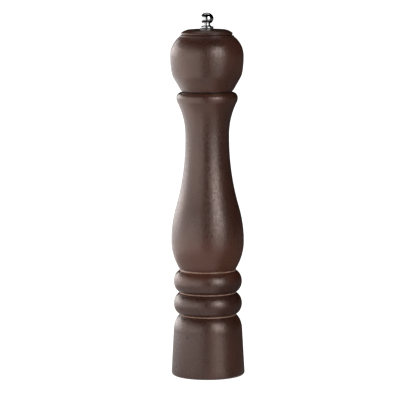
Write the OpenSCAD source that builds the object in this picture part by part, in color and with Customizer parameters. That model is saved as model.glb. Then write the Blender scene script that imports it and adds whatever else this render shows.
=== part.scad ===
// Pepper mill, about 304 mm tall, turned in wood, with a ball finial nut.
// Millimetres. Z is up, the base stands on z = 0 and every piece turns about the Z axis.
// The head turns the shaft and the burr; the finial nut draws the shaft up for a finer grind.

/* [Body outline] */

// Widest radius of the foot
base_radius = 30.8; // [29.6:0.1:31.2]
// Rounding of the foot's bottom edge
base_round = 2.4; // [1:0.1:4]
// Radius where the foot's gentle taper ends
foot_top_radius = 28.9; // [28.5:0.1:29.5]
// Height where the foot's gentle taper ends
foot_top_height = 38; // [36:0.5:40]
// Height of the lowest groove
groove_low = 51.4; // [50.6:0.1:52]
// Height of the middle groove
groove_middle = 70.1; // [69:0.1:71.5]
// Height of the highest groove
groove_high = 89; // [88:0.1:90]
// Radius at the bottom of the grooves
groove_radius = 23.4; // [22.5:0.1:24]
// Width of a groove's floor
groove_width = 0.9; // [0.6:0.1:1.4]
// Radius of the two beads between the grooves
bead_radius = 28.7; // [28:0.1:29.5]
// Widest radius of the belly above the grooves
belly_radius = 30.5; // [29.5:0.1:31.2]
// Height where the belly is widest
belly_height = 113.6; // [112:0.2:116]
// Radius of the narrow waist
waist_radius = 18.4; // [18:0.1:20]
// Height where the waist starts to be straight
waist_height = 199.6; // [196:0.2:200]
// Radius of the lip under the head
lip_radius = 25.7; // [25:0.1:26.5]
// Height of the body's flat top
body_height = 238.4; // [237:0.1:240]

/* [Body bores] */

// Radius of the bore that holds the peppercorns
chamber_radius = 13.5; // [13.5:0.1:14.5]
// Radius of the recess in the foot
recess_radius = 21; // [20.5:0.1:22.5]
// Depth of the recess in the foot
recess_depth = 13; // [13:0.5:15]
// Depth of the counterbore for the mouth ring
mouth_depth = 9; // [8:0.5:10]

/* [Head] */

// Widest radius of the head
head_radius = 30.7; // [30:0.1:31.2]
// Height of the widest point above the head's underside
head_widest = 28.3; // [27:0.1:30]
// Radius of the head's upper curve
crown_radius = 20.3; // [20:0.1:21]
// Lean of the head's lower flank from the axis, in degrees
flank_lean = 30; // [28:0.5:32]
// Radius of the button turned on top of the head
button_radius = 22; // [21.6:0.1:22.2]
// Slope of the button's shallow dome at its edge, in degrees
button_slope = 4; // [3.5:0.5:5]
// Length of the tenon that turns in the mouth ring
tenon_length = 10; // [9:0.5:11]

/* [Finial nut] */

// Sideways radius of the ball
ball_radius = 5.75; // [5.4:0.05:6.2]
// Upward half height of the ball
ball_half_height = 4.9; // [4.6:0.1:5.4]
// Radius of the neck under the ball
neck_radius = 2.8; // [2.7:0.05:3.2]
// Radius of the nut's round base
nut_base_radius = 5.75; // [5.4:0.05:6.4]
// Height of the nut's upright rim
nut_rim = 1.5; // [1.2:0.1:1.8]

/* [Shaft and thread] */

// Width across the flats of the square shaft
shaft_width = 6; // [5.6:0.1:6.1]
// Radius of the threaded end
thread_radius = 2; // [1.9:0.05:2.1]
// Pitch of the thread
thread_pitch = 0.7; // [0.6:0.05:0.8]
// Radius of the round pin at the lower end
pin_radius = 2.4; // [2.2:0.05:2.6]

/* [Grinder] */

// Teeth in the grinding ring
ring_teeth = 24; // [18:2:28]
// Fine teeth round the foot of the burr
burr_teeth = 20; // [14:1:24]
// Coarse teeth that feed the peppercorns down
feed_teeth = 6; // [5:1:8]
// Gap between the burr and the ring
grind_gap = 0.35; // [0.3:0.05:0.6]
// Coils in the spring
spring_coils = 5; // [4:0.5:5]
// Wire thickness of the spring
spring_wire = 1; // [0.8:0.05:1.1]

/* [Hidden] */

$fn = 96;

walnut = [0.24, 0.17, 0.14];
steel = [0.62, 0.62, 0.64];
dark_steel = [0.30, 0.30, 0.32];
nylon = [0.10, 0.10, 0.11];
polish = [0.90, 0.90, 0.92];
bronze = [0.72, 0.55, 0.28];

// Running clearance, and the looser one of a piece that is only dropped in
run = 0.05;
loose = 0.1;

// Heights of the grinder's pieces, worked up from the recess
flange_thick = 1.6;
bar_thick = 1.5;
seat = recess_depth - flange_thick;
bar_low = seat - bar_thick;
clip_low = seat + 0.9;
clip_thick = 0.8;
end_washer_low = clip_low + clip_thick;
end_washer_thick = 0.8;
burr_low = end_washer_low + end_washer_thick;
grind_top = seat + 7.6;
ring_top = seat + 14.6;
burr_top = ring_top - 0.5;
cup_thick = 0.8;
spring_low = burr_top + cup_thick;
bridge_low = ring_top + 8.8;
bridge_thick = 1.6;
thrust_thick = 0.8;
spring_high = bridge_low - thrust_thick;
housing_top = bridge_low + bridge_thick + 1.6;
pin_low = seat - 4.4;

// Radii of the grinder's pieces
housing_outer = chamber_radius - run;
housing_inner = housing_outer - 0.85;
ring_outer = housing_inner - run;
ring_foot = 11.2;
ring_waist = 9.6;
ring_mouth = 10.6;
tooth_depth = 0.9;
half_diagonal = shaft_width / sqrt(2);
bush_inner = half_diagonal + loose;
bush_outer = bush_inner + 1.25;
spring_radius = half_diagonal + 0.55 + spring_wire / 2;
screw_place = recess_radius - 4.5;
bar_width = 8;
bar_screw = 1.5;
bar_screw_long = 13;
bar_screw_cap = 1.8;

// Heights at the joint and in the head
ring_flange = 0.8;
mouth_inner = chamber_radius - 0.2;
mouth_outer = chamber_radius + 2;
joint = body_height + ring_flange;
tenon_radius = mouth_inner - run;
tenon_end = joint - tenon_length;
plate_thick = 1.2;
plate_low = tenon_end - plate_thick;
plate_screw_place = 8.5;
plate_screw = 1.2;
plate_screw_long = 8;
plate_screw_cap = 1.3;
head_hole = half_diagonal + loose;
bush_flange = 0.8;
square_top = joint + 34.8;
widest = joint + head_widest;
widest_flat = 0.9;
flank_long = 75;
flank_short = 16;
flank_turn = 9.6;
button_low = widest + widest_flat + sqrt(pow(crown_radius, 2)
    - pow(button_radius + 1.6 - head_radius + crown_radius, 2));
button_rim = button_low + 3.27;
button_arris = 0.7;
button_round = 12.6;
button_turn = 50;
button_in = button_radius - 1.05 - (button_round - button_arris) * cos(button_turn);
button_edge = button_rim - (button_round - button_arris) * sin(button_turn);
dome_edge = button_in + button_round * sin(button_slope);
dome_round = dome_edge / sin(button_slope);
head_top = button_edge + button_round * cos(button_slope) + dome_round * (1 - cos(button_slope));
washer_thick = 0.3;
nut_low = head_top + washer_thick;
neck_height = nut_low + 3.8;
ball_height = neck_height + ball_half_height * sqrt(1 - pow(neck_radius / ball_radius, 2));
thread_top = ball_height - 1.7;
thread_hole_top = thread_top + 0.8;
ferrule_radius = thread_radius + 1.4;

// Points on an arc of an ellipse, in the plane of radius and height
function arc(across, up, rx, ry, from, to, steps) =
    [for (i = [0 : steps]) let (a = from + (to - from) * i / steps)
        [across + rx * cos(a), up + ry * sin(a)]];

// A bead between two groove floors, drawn upwards
function bead(low, high) =
    let (middle = (low + high) / 2)
    let (half = (high - low) / 2)
    let (rise = half / 0.932)
    let (edge = asin(half / rise))
    let (deep = (bead_radius - groove_radius - 0.5) / (1 - cos(edge)))
    arc(bead_radius - deep, middle, deep, rise, -edge, edge, 16);

// The body's outside from the foot's bottom edge to the lip
function body_outside() =
    let (g = groove_width / 2)
    let (shoulder_rise = (groove_low - g - foot_top_height) * 1.116)
    let (shoulder_edge = asin((groove_low - g - foot_top_height) / shoulder_rise))
    let (shoulder_deep = (foot_top_radius - groove_radius - 0.5) / (1 - cos(shoulder_edge)))
    let (belly_low = 44.8)
    let (belly_edge = asin((belly_height - groove_high - g) / belly_low))
    let (fall = belly_radius - waist_radius)
    let (reach = waist_height - belly_height)
    let (two_arcs = (reach * reach + fall * fall) / (2 * fall))
    let (belly_arc = 102.4)
    let (waist_arc = two_arcs - belly_arc)
    let (turn = asin(reach / two_arcs))
    let (lip_low = 9)
    let (lip_high = 4.9)
    let (lip_height = body_height - lip_high)
    let (straight_top = waist_height + 2.8)
    let (inset = waist_radius - lip_radius + lip_low)
    let (climb = lip_height - straight_top)
    let (cove = (inset * inset + climb * climb - lip_low * lip_low) / (2 * (lip_low - inset)))
    let (cove_edge = atan2(climb, inset + cove))
    concat(
        arc(base_radius - base_round, base_round, base_round, base_round, -90, 0, 8),
        arc(foot_top_radius - shoulder_deep, foot_top_height, shoulder_deep, shoulder_rise,
            0, shoulder_edge, 12),
        [[groove_radius, groove_low - g], [groove_radius, groove_low + g]],
        bead(groove_low + g, groove_middle - g),
        [[groove_radius, groove_middle - g], [groove_radius, groove_middle + g]],
        bead(groove_middle + g, groove_high - g),
        [[groove_radius, groove_high - g], [groove_radius, groove_high + g]],
        arc(belly_radius - belly_low, belly_height, belly_low, belly_low, -belly_edge, -3, 10),
        arc(belly_radius - belly_arc, belly_height, belly_arc, belly_arc, 0, turn, 14),
        arc(waist_radius + waist_arc, waist_height, waist_arc, waist_arc,
            178 + turn, 180, 12),
        arc(waist_radius + cove, straight_top, cove, cove, 180, 180 - cove_edge, 14),
        arc(lip_radius - lip_low, lip_height, lip_low, lip_low, 2 - cove_edge, 0, 8),
        arc(lip_radius - lip_high, lip_height, lip_high, lip_high, 10, 90, 8));

// The head's outside from its underside to the middle of the button
function head_outside() =
    let (long_end = [head_radius - flank_long * (1 - cos(flank_turn)),
        widest - flank_long * sin(flank_turn)])
    let (short_up = long_end[1] + flank_short * sin(flank_turn))
    let (short_in = long_end[0] - flank_short * cos(flank_turn))
    let (short_end = [short_in + flank_short * cos(flank_lean),
        short_up - flank_short * sin(flank_lean)])
    let (edge_height = joint + 0.4)
    let (edge_radius = short_end[0] - (short_end[1] - edge_height) * tan(flank_lean))
    let (crown_top = widest + widest_flat)
    let (crown_in = head_radius - crown_radius)
    let (crown_edge = acos((button_radius + 1.6 - crown_in) / crown_radius))
    let (dome_start = 90 - asin((ferrule_radius + 1.5) / dome_round))
    concat(
        [[edge_radius - 0.4, joint], [edge_radius, edge_height]],
        arc(short_in, short_up, flank_short, flank_short, -flank_lean, -flank_turn, 6),
        arc(head_radius - flank_long, widest, flank_long, flank_long, 1 - flank_turn, 0, 6),
        arc(crown_in, crown_top, crown_radius, crown_radius, 0, crown_edge, 18),
        [[button_radius + 0.9, button_low + 0.3]],
        arc(button_radius + 0.2, button_low + 1, 0.7, 0.55, -50, 90, 7),
        [[button_radius - 1.1, button_low + 1.6]],
        arc(button_radius - 1.05, button_rim, button_arris, button_arris, -30, button_turn, 5),
        arc(button_in, button_edge, button_round, button_round, button_turn + 3, 90 - button_slope, 10),
        arc(0, head_top - dome_round, dome_round, dome_round, 90 - 0.9 * button_slope, dome_start, 5));

// A toothed outline: rounded teeth between a root radius and a tip radius
function teeth(count, root, tip) =
    [for (i = [0 : count * 4 - 1])
        let (a = 360 * i / (count * 4))
        let (r = i % 4 < 2 ? tip : root)
        [r * cos(a), r * sin(a)]];

// A turned ring of one rectangular section
module washer(inner, outer, low, high) {
    translate([0, 0, low])
        linear_extrude(high - low)
            difference() {
                circle(outer);
                circle(inner);
            }
}

// A pan head screw on the Z axis, its head down, its shank reaching up
module pan_screw(cap, cap_high, shank, long) {
    slot = 0.7;
    difference() {
        cylinder(r = cap, h = cap_high);
        translate([-cap, -slot / 2, -0.1])
            cube([2 * cap, slot, cap_high * 0.6]);
    }
    translate([0, 0, cap_high])
        cylinder(r = shank, h = long - shank);
    translate([0, 0, cap_high + long - shank])
        cylinder(r1 = shank, r2 = 0.2, h = shank);
}

module body() {
    color(walnut)
        difference() {
            rotate_extrude()
                polygon(concat(
                    [[recess_radius + 0.6, 0]],
                    body_outside(),
                    [[mouth_outer + run, body_height],
                        [mouth_outer + run, body_height - mouth_depth],
                        [chamber_radius, body_height - mouth_depth],
                        [chamber_radius, recess_depth],
                        [recess_radius, recess_depth],
                        [recess_radius, 0.6]]));
            for (side = [-1, 1])
                translate([side * screw_place, 0, recess_depth - 1])
                    cylinder(r = bar_screw + run, h = bar_screw_long - 1.5);
        }
}

// Wear ring pressed into the body's mouth; the head turns in it and rests on its flange
module mouth_ring() {
    color(nylon)
        rotate_extrude()
            polygon([
                [mouth_inner, body_height - mouth_depth],
                [mouth_outer, body_height - mouth_depth],
                [mouth_outer, body_height],
                [mouth_outer + 3, body_height],
                [mouth_outer + 3, joint],
                [mouth_inner + 0.5, joint],
                [mouth_inner, joint - 0.5]]);
}

module head() {
    color(walnut)
        difference() {
            rotate_extrude()
                polygon(concat(
                    [[head_hole, tenon_end],
                        [tenon_radius - 0.6, tenon_end],
                        [tenon_radius, tenon_end + 0.6],
                        [tenon_radius, joint]],
                    head_outside(),
                    [[ferrule_radius + 1.5, head_top - bush_flange],
                        [ferrule_radius + run, head_top - bush_flange],
                        [ferrule_radius + run, square_top + 4],
                        [head_hole, square_top + 4]]));
            for (side = [-1, 1])
                translate([side * plate_screw_place, 0, tenon_end - 1])
                    cylinder(r = plate_screw + run, h = plate_screw_long + 1);
        }
}

// Ferrule that lines the hole in the button and takes the finial nut's load
module head_bush() {
    color(bronze) {
        washer(thread_radius + run, ferrule_radius, head_top - 10, head_top - bush_flange);
        washer(thread_radius + run, ferrule_radius + 1.4, head_top - bush_flange, head_top);
    }
}

// Plate under the tenon whose square hole turns the shaft
module drive_plate() {
    color(steel)
        translate([0, 0, plate_low])
            linear_extrude(plate_thick)
                difference() {
                    circle(tenon_radius - 1.2);
                    square(shaft_width + 2 * run, center = true);
                    for (side = [-1, 1])
                        translate([side * plate_screw_place, 0])
                            circle(plate_screw + loose);
                }
}

module drive_plate_screws() {
    color(dark_steel)
        for (side = [-1, 1])
            translate([side * plate_screw_place, 0, plate_low - plate_screw_cap])
                pan_screw(2.3, plate_screw_cap, plate_screw, plate_screw_long);
}

module finial_washer() {
    color(polish)
        washer(thread_radius + run, nut_base_radius - 0.3, head_top, nut_low);
}

module finial_nut() {
    bell = neck_height - nut_low - nut_rim;
    neck_turn = acos(neck_radius / ball_radius);
    color(polish)
        rotate_extrude()
            polygon(concat(
                [[thread_radius + run, nut_low],
                    [nut_base_radius - 0.2, nut_low],
                    [nut_base_radius, nut_low + 0.2],
                    [nut_base_radius, nut_low + nut_rim - 0.3],
                    [nut_base_radius - 0.3, nut_low + nut_rim]],
                arc(neck_radius + bell, neck_height, bell, bell, 270, 180, 8),
                arc(0, ball_height, ball_radius, ball_half_height, 3 - neck_turn, 90, 26),
                [[0, thread_hole_top + 1],
                    [thread_radius + run, thread_hole_top]]));
}

// Square shaft with a round pin below and a threaded end above
module shaft() {
    thread_low = thread_top - 12.6;
    turns = floor((thread_top - thread_low) / thread_pitch);
    color(steel) {
        translate([0, 0, pin_low])
            cylinder(r = pin_radius, h = clip_low - pin_low);
        translate([0, 0, clip_low])
            cylinder(r = pin_radius - 0.5, h = clip_thick);
        translate([0, 0, end_washer_low])
            cylinder(r = pin_radius, h = end_washer_thick);
        translate([-shaft_width / 2, -shaft_width / 2, burr_low])
            cube([shaft_width, shaft_width, square_top - burr_low]);
        rotate_extrude()
            polygon(concat(
                [[0, square_top], [thread_radius, square_top], [thread_radius, thread_low]],
                [for (i = [0 : turns * 2 - 1])
                    [i % 2 == 0 ? thread_radius - 0.3 : thread_radius,
                        thread_low + (i + 1) * thread_pitch / 2]],
                [[thread_radius - 0.5, thread_top], [0, thread_top]]));
    }
}

// Square-holed washer that turns with the shaft against the bridge
module thrust_washer() {
    color(steel)
        translate([0, 0, spring_high])
            linear_extrude(thrust_thick)
                difference() {
                    circle(bush_outer + 0.9);
                    square(shaft_width + 2 * run, center = true);
                }
}

// A point of the spring's wire: turned t coils round, at angle a round the wire's section
function coil_point(t, a) =
    let (wire = spring_wire / 2)
    let (closed = min(t, 1) + max(t - spring_coils + 1, 0))
    let (open = t - closed)
    let (gap = spring_high - spring_low - spring_wire)
    let (step = (gap - 2.1 * spring_wire) / (spring_coils - 2))
    let (climb = closed * 1.05 * spring_wire + open * step)
    let (r = spring_radius + wire * cos(a))
    [r * cos(360 * t), r * sin(360 * t), spring_low + wire + climb + wire * sin(a)];

module grinder_spring() {
    sides = 8;
    steps = spring_coils * 24;
    wall = [for (i = [0 : steps - 1], k = [0 : sides - 1])
        let (next = (k + 1) % sides)
        [i * sides + k, i * sides + next, (i + 1) * sides + next, (i + 1) * sides + k]];
    start = [for (k = [sides - 1 : -1 : 0]) k];
    end = [for (k = [0 : sides - 1]) steps * sides + k];
    color(dark_steel)
        polyhedron(
            points = [for (i = [0 : steps], k = [0 : sides - 1])
                coil_point(i / 24, 360 * k / sides)],
            faces = concat(wall, [start, end]),
            convexity = 8);
}

// Dished washer on top of the burr that centres the spring
module spring_cup() {
    color(steel)
        rotate_extrude()
            polygon([
                [half_diagonal + run, burr_top],
                [spring_radius + spring_wire / 2 + 0.7, burr_top],
                [spring_radius + spring_wire / 2 + 0.7, spring_low + 0.6],
                [spring_radius + spring_wire / 2 + 0.2, spring_low + 0.6],
                [spring_radius + spring_wire / 2 + 0.2, spring_low],
                [half_diagonal + run, spring_low]]);
}

// Inner radius of the grinding ring at a height in its grinding part
function ring_at(z) = ring_foot + (ring_waist - ring_foot) * (z - seat) / (grind_top - seat);

// Cone burr: fine teeth below, coarse spiral teeth above, a square hole for the shaft
module grinder_burr() {
    foot_tip = ring_at(burr_low) - grind_gap;
    waist_tip = ring_at(grind_top) - grind_gap;
    head_tip = half_diagonal + 1.75;
    color(dark_steel)
        difference() {
            union() {
                translate([0, 0, burr_low])
                    linear_extrude(grind_top - burr_low, twist = 14, slices = 6,
                        scale = waist_tip / foot_tip)
                        polygon(teeth(burr_teeth, foot_tip - 0.8, foot_tip));
                translate([0, 0, grind_top - 0.01])
                    linear_extrude(burr_top - grind_top + 0.01, twist = 55, slices = 12,
                        scale = head_tip / waist_tip)
                        polygon(teeth(feed_teeth, waist_tip - 1.9, waist_tip));
            }
            translate([0, 0, burr_low - 1])
                linear_extrude(burr_top - burr_low + 2)
                    square(shaft_width + 2 * run, center = true);
        }
}

module shaft_end_washer() {
    color(steel)
        washer(pin_radius + run, half_diagonal + 0.8, end_washer_low, burr_low);
}

// Open retaining clip in the pin's groove
module shaft_end_clip() {
    groove = pin_radius - 0.5;
    color(dark_steel)
        translate([0, 0, clip_low + 0.05])
            linear_extrude(clip_thick - 0.1)
                difference() {
                    circle(pin_radius + 1.9);
                    circle(groove + run);
                    translate([0, -groove * 0.8])
                        square([pin_radius + 3, groove * 1.6]);
                    for (side = [40, 140, 220, 320])
                        rotate(side)
                            translate([pin_radius + 0.25, 0])
                                circle(0.55);
                }
}

// Sheet metal housing: a flange under the body's shoulder and a sleeve up the bore
module grinder_housing() {
    color(steel)
        difference() {
            rotate_extrude()
                polygon([
                    [housing_inner, seat],
                    [screw_place + 3, seat],
                    [screw_place + 3, recess_depth],
                    [housing_outer, recess_depth],
                    [housing_outer, housing_top],
                    [housing_inner, housing_top],
                    [housing_inner, ring_top + 1],
                    [housing_inner - 0.9, ring_top + 1],
                    [housing_inner - 0.9, ring_top],
                    [housing_inner, ring_top]]);
            translate([0, 0, bridge_low + bridge_thick / 2])
                cube([3 * housing_outer, bar_width + 2 * loose, bridge_thick], center = true);
            for (side = [-1, 1])
                translate([side * screw_place, 0, seat - 1])
                    cylinder(r = bar_screw + 2 * loose, h = flange_thick + 2);
        }
}

// Fixed grinding ring: a toothed cone below and a coarse funnel above
module grinder_ring() {
    color(dark_steel)
        difference() {
            translate([0, 0, seat])
                cylinder(r = ring_outer, h = ring_top - seat);
            translate([0, 0, seat - 0.01])
                linear_extrude(grind_top - seat + 0.02, twist = -12, slices = 6,
                    scale = ring_waist / ring_foot)
                    polygon(teeth(ring_teeth, ring_foot, ring_foot + tooth_depth));
            translate([0, 0, grind_top])
                linear_extrude(ring_top - grind_top + 0.01, slices = 2,
                    scale = ring_mouth / ring_waist)
                    polygon(teeth(ring_teeth / 2, ring_waist, ring_waist + tooth_depth));
        }
}

// Bar across the housing that carries the shaft's upper bush and the spring's push
module bearing_bridge() {
    color(steel)
        translate([0, 0, bridge_low])
            linear_extrude(bridge_thick)
                difference() {
                    intersection() {
                        circle(housing_outer - run);
                        union() {
                            square([3 * housing_outer, bar_width], center = true);
                            circle(bush_outer + 1.9);
                        }
                    }
                    circle(bush_outer + run);
                }
}

module bridge_bush() {
    color(nylon) {
        washer(bush_inner, bush_outer, bridge_low, bridge_low + bridge_thick);
        washer(bush_inner, bush_outer + 1, bridge_low + bridge_thick,
            bridge_low + bridge_thick + 0.8);
    }
}

// Flat bar screwed under the housing; it guides the shaft's lower pin
module retaining_bar() {
    color(steel)
        translate([0, 0, bar_low])
            linear_extrude(bar_thick)
                difference() {
                    union() {
                        square([2 * screw_place, bar_width], center = true);
                        circle(6);
                        for (side = [-1, 1])
                            translate([side * screw_place, 0])
                                circle(bar_width / 2);
                    }
                    circle(pin_radius + run);
                    for (side = [-1, 1])
                        translate([side * screw_place, 0])
                            circle(bar_screw + 2 * loose);
                }
}

module retaining_bar_screws() {
    color(dark_steel)
        for (side = [-1, 1])
            translate([side * screw_place, 0, bar_low - bar_screw_cap])
                pan_screw(3, bar_screw_cap, bar_screw, bar_screw_long);
}

body();
mouth_ring();
head();
head_bush();
drive_plate();
drive_plate_screws();
finial_washer();
finial_nut();
shaft();
thrust_washer();
grinder_spring();
spring_cup();
grinder_burr();
shaft_end_washer();
shaft_end_clip();
grinder_housing();
grinder_ring();
bearing_bridge();
bridge_bush();
retaining_bar();
retaining_bar_screws();
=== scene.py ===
"""A pepper mill turned in stained wood, with a chrome ball nut and a steel grinder, round its CAD frame."""

import math

import bmesh
import bpy
from mathutils import Matrix, Vector


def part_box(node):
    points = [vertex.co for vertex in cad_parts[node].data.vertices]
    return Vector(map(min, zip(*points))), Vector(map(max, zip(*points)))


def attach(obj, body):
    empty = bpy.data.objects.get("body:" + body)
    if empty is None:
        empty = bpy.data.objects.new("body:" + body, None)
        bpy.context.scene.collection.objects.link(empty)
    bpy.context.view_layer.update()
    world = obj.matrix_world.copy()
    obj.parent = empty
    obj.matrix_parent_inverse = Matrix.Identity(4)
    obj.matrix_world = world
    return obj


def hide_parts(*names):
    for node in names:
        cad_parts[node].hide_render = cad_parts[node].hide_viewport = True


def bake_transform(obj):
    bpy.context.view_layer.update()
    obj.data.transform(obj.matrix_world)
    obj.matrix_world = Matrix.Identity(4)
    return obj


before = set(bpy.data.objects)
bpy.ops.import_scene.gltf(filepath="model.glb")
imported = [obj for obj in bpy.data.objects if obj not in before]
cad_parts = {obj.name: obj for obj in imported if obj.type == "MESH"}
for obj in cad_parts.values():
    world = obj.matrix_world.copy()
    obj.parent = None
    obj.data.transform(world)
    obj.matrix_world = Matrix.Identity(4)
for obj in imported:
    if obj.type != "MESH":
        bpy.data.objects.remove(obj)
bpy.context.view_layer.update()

MM = 0.001


def low(node):
    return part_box(node)[0][2] / MM


def high(node):
    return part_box(node)[1][2] / MM


# Sizes in millimetres, the same as the CAD's
BASE_RADIUS, BASE_ROUND = 30.8, 2.4
FOOT_TOP_RADIUS, FOOT_TOP = 28.9, 38.0
GROOVES = (51.4, 70.1, 89.0)
GROOVE_RADIUS, GROOVE_WIDTH = 23.4, 0.9
BEAD_RADIUS = 28.7
BELLY_RADIUS, BELLY_HEIGHT = 30.5, 113.6
WAIST_RADIUS, WAIST_HEIGHT = 18.4, 199.6
LIP_RADIUS = 25.7
BODY_HEIGHT = high("body")
JOINT = high("mouth_ring")
HEAD_RADIUS, BUTTON_RADIUS = 30.7, 22.0
HEAD_TOP = high("head_bush")
BUSH_RIM = 4.9
HALF_WIDTH = 3.0
HALF_DIAGONAL = HALF_WIDTH * math.sqrt(2)
RUN = 0.05

# Soft patches of light in the room: left and right azimuth and low and high elevation in degrees, strength
SKY_GLOW = (
    (-156, -106, -6, 22, 3.7),
    (-106, -80, -6, 26, 1.5),
    (-80, -16, -6, 26, 1.22),
    (-70, -42, -6, 8, 0.6),
    (-110, -24, 26, 42, 0.4),
    (6, 22, -6, 26, 0.42),
    (21, 54, -6, 8, 2.2),
    (21, 52, 8, 40, 4.4),
    (-186, -126, 57, 72, 1.0),
    (126, 186, 57, 72, 1.0),
)
# The same on the floor, with nearest and farthest distance in metres
FLOOR_GLOW = (
    (-186, 38, -1.0, 0.3, 0.53),
    (44, 186, -1.0, 0.02, 0.26),
    (-172, -70, 0.3, 12.0, 1.6),
    (-70, -19, 0.3, 12.0, 1.12),
    (-24, 16, 0.3, 1.6, 0.16),
    (16, 52, 0.3, 1.5, 0.75),
    (16, 54, 1.5, 12.0, 1.4),
    (60, 140, -1.0, 12.0, 0.06),
)


# ---------------------------------------------------------------- camera, floor and light

def make_camera():
    """A long lens 2 m in front of the mill, a little above it and looking slightly down."""
    data = bpy.data.cameras.new("camera")
    data.lens = 216.24
    data.sensor_width = 36.0
    data.clip_end = 50.0
    camera = bpy.data.objects.new("camera", data)
    camera.location = (-0.00626, -2.0, 0.367)
    pitch = math.radians(90.0 - 6.256)
    roll = math.radians(-0.25)
    camera.rotation_euler = (Matrix.Rotation(pitch, 3, "X") @ Matrix.Rotation(roll, 3, "Z")).to_euler()
    bpy.context.collection.objects.link(camera)
    bpy.context.scene.camera = camera


def compass(nodes, x, y):
    """Azimuth in degrees of a horizontal direction. 0 is at the camera's side and 90 to the right."""
    turn = nodes.math("ARCTAN2", x, nodes.math("MULTIPLY", y, -1.0))
    return nodes.math("MULTIPLY", turn, math.degrees(1.0))


def glow(nodes, azimuth, other, patches, edge, other_edge):
    """The summed strength of soft-edged patches of light, each given by its left and right azimuth, its
    bounds in the other coordinate, and its strength."""
    parts = []
    for left, right, low, high, strength in patches:
        part = nodes.step(azimuth, left - edge, left + edge, 0.0, strength)
        part = nodes.math("MULTIPLY", part, nodes.step(azimuth, right + edge, right - edge))
        part = nodes.math("MULTIPLY", part, nodes.step(other, low - other_edge, low + other_edge))
        parts.append(nodes.math("MULTIPLY", part, nodes.step(other, high + other_edge, high - other_edge)))
    return nodes.sum(*parts)


def make_floor():
    """A pale sheet just under the mill, seen only from above. It is white to the camera, lit unevenly
    by the room for the wood to pick up, and evenly beneath the foot."""
    mesh = bpy.data.meshes.new("floor")
    grid = bmesh.new()
    bmesh.ops.create_grid(grid, x_segments=8, y_segments=8, size=12.0)
    grid.to_mesh(mesh)
    grid.free()
    floor = bpy.data.objects.new("floor", mesh)
    floor.location.z = -0.0001
    bpy.context.collection.objects.link(floor)
    paper = Shader("pale_floor")
    x, y, z = paper.split(paper.place)
    seen = paper.add("ShaderNodeLightPath").outputs["Is Camera Ray"]
    pale = paper.blend(paper.noise(3.0), (0.90, 0.90, 0.90), (0.93, 0.93, 0.93))
    paper.set("Base Color", paper.blend(seen, (0.1, 0.1, 0.1), pale))
    paper.set("Roughness", 0.9)
    paper.set("Specular IOR Level", 0.2)
    paper.set("Emission Color", (1.0, 1.0, 1.0))
    lit = glow(paper, compass(paper, x, y), paper.radius(), FLOOR_GLOW, 6.0, 0.08)
    lit = paper.math("MAXIMUM", lit, paper.step(paper.radius(), 0.034, 0.031, 0.0, 0.53))
    paper.set("Emission Strength", paper.math("MAXIMUM", lit, seen))
    from_below = paper.add("ShaderNodeNewGeometry").outputs["Backfacing"]
    paper.set("Alpha", paper.math("SUBTRACT", 1.0, from_below))
    mesh.materials.append(paper.material)


def make_world():
    """White to the camera. To all else a dark room with a long soft wall of light on the left and a box on
    the right."""
    world = bpy.data.worlds.new("studio")
    world.use_nodes = True
    bpy.context.scene.world = world
    world.node_tree.nodes.clear()
    sky = Nodes(world.node_tree)
    x, y, z = sky.split(sky.add("ShaderNodeTexCoord").outputs["Generated"])
    rise = sky.math("MULTIPLY", sky.math("ARCSINE", z), math.degrees(1.0))
    lit = glow(sky, compass(sky, x, y), rise, SKY_GLOW, 5.0, 3.0)
    seen = sky.add("ShaderNodeLightPath").outputs["Is Camera Ray"]
    strength = sky.math("MAXIMUM", lit, seen)
    room = sky.add("ShaderNodeBackground", {"Color": (1.0, 1.0, 1.0), "Strength": strength})
    out = sky.add("ShaderNodeOutputWorld")
    sky.feed(out.inputs["Surface"], room.outputs[0])
# ---------------------------------------------------------------- materials

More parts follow.
